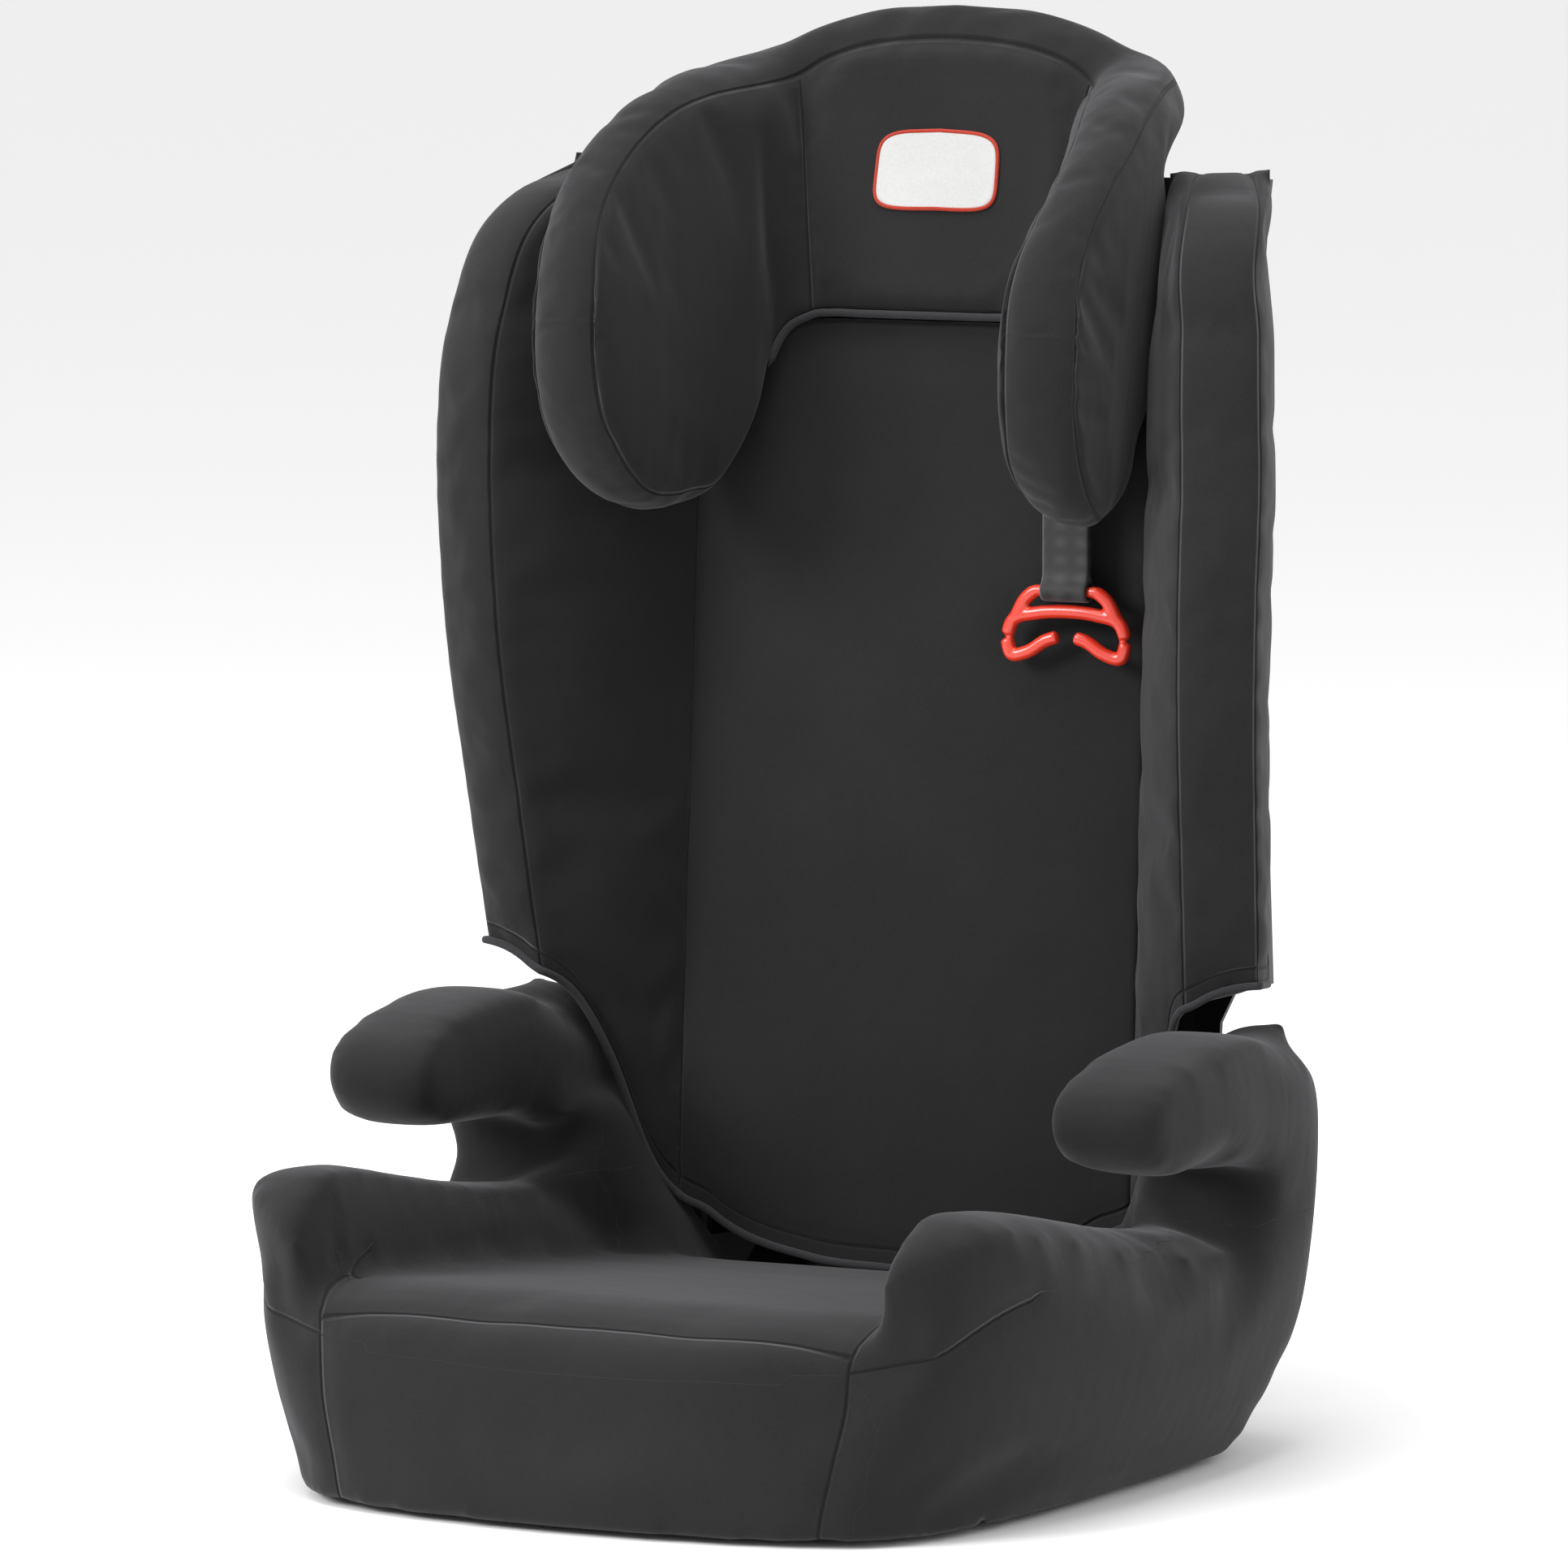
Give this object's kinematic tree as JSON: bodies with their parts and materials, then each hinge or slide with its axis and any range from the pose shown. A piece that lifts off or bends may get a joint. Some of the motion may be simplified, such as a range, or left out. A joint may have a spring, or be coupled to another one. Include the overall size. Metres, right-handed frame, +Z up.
{
  "type": "child booster seat",
  "caption": "High-back child booster car seat with hooked armrests, tilting winged backrest, height-adjustable winged headrest and hanging shoulder-belt guide.",
  "frame": {"origin": "on the floor, at the bottom centre of the bounding box", "axes": "+Z up, the seat faces -Y, +X is on the side of the shoulder-belt guide"},
  "size_m": [0.4568, 0.4558, 0.6939],
  "materials": {
    "shell_plastic": "fine-grained black polypropylene",
    "cover_fabric": "charcoal brushed polyester knit",
    "piping": "charcoal piping cord",
    "foam": "grey soft foam",
    "rubber": "moulded rubber",
    "zinc_steel": "zinc-plated steel",
    "slider_plastic": "dark grey acetal",
    "webbing": "dark grey woven webbing",
    "hook_plastic": "satin orange-red acetal",
    "label": "plain light grey woven label"
  },
  "bodies": {
    "base": {"base_shell": "shell_plastic", "base_cover": "cover_fabric", "seat_foam": "foam", "foot_front_left": "rubber", "foot_front_right": "rubber", "foot_rear_left": "rubber", "foot_rear_right": "rubber", "hinge_bar": "zinc_steel", "hinge_clip_left": "zinc_steel", "hinge_clip_right": "zinc_steel"},
    "backrest": {"back_shell": "shell_plastic", "back_foam": "foam", "left_wing_foam": "foam", "right_wing_foam": "foam", "back_cover": "cover_fabric", "back_piping": "piping", "guide_rod_left": "zinc_steel", "guide_rod_right": "zinc_steel", "height_rack": "slider_plastic", "rack_screw_lower": "zinc_steel", "rack_screw_upper": "zinc_steel"},
    "headrest": {"head_shell": "shell_plastic", "head_center_pad": "foam", "left_head_wing_pad": "foam", "right_head_wing_pad": "foam", "head_cover": "cover_fabric", "head_piping": "piping", "label_patch": "label", "head_carrier": "slider_plastic", "carrier_screw_left": "zinc_steel", "carrier_screw_right": "zinc_steel", "lever_spring": "zinc_steel"},
    "lever": {"release_lever": "slider_plastic"},
    "pin": {"lock_pin": "zinc_steel"},
    "strap": {"belt_strap": "webbing"},
    "hook": {"belt_hook": "hook_plastic"}
  },
  "joints": [
    {"name": "backrest_tilt", "type": "hinge", "parent": "base", "child": "backrest", "pos_m": [0, 0.178, 0.034], "axis": [-1, 0, 0], "range_deg": [0, 12]},
    {"name": "headrest_slide", "type": "slide", "parent": "backrest", "child": "headrest", "axis": [0, 0.0645, 0.9979], "range_m": [0, 0.12]},
    {"name": "release_lever_slide", "type": "slide", "parent": "headrest", "child": "lever", "axis": [0, 0.0645, 0.9979], "range_m": [0, 0.008], "stiffness_N_per_m": 400, "springref_m": -0.004, "deforming": ["lever_spring"]},
    {"name": "lock_pin_slide", "type": "slide", "parent": "headrest", "child": "pin", "axis": [0, -0.9979, 0.0645], "range_m": [0, 0.003]},
    {"name": "belt_strap_swing", "type": "hinge", "parent": "headrest", "child": "strap", "pos_m": [0.087, 0.145, 0.486], "axis": [1, 0, 0], "range_deg": [-15, 3]},
    {"name": "belt_hook_swing", "type": "hinge", "parent": "strap", "child": "hook", "pos_m": [0.087, 0.145, 0.412], "axis": [1, 0, 0], "range_deg": [-40, 8]}
  ],
  "couplings": [
    {"joint": "lock_pin_slide", "follows": "release_lever_slide", "ratio": 0.375}
  ]
}
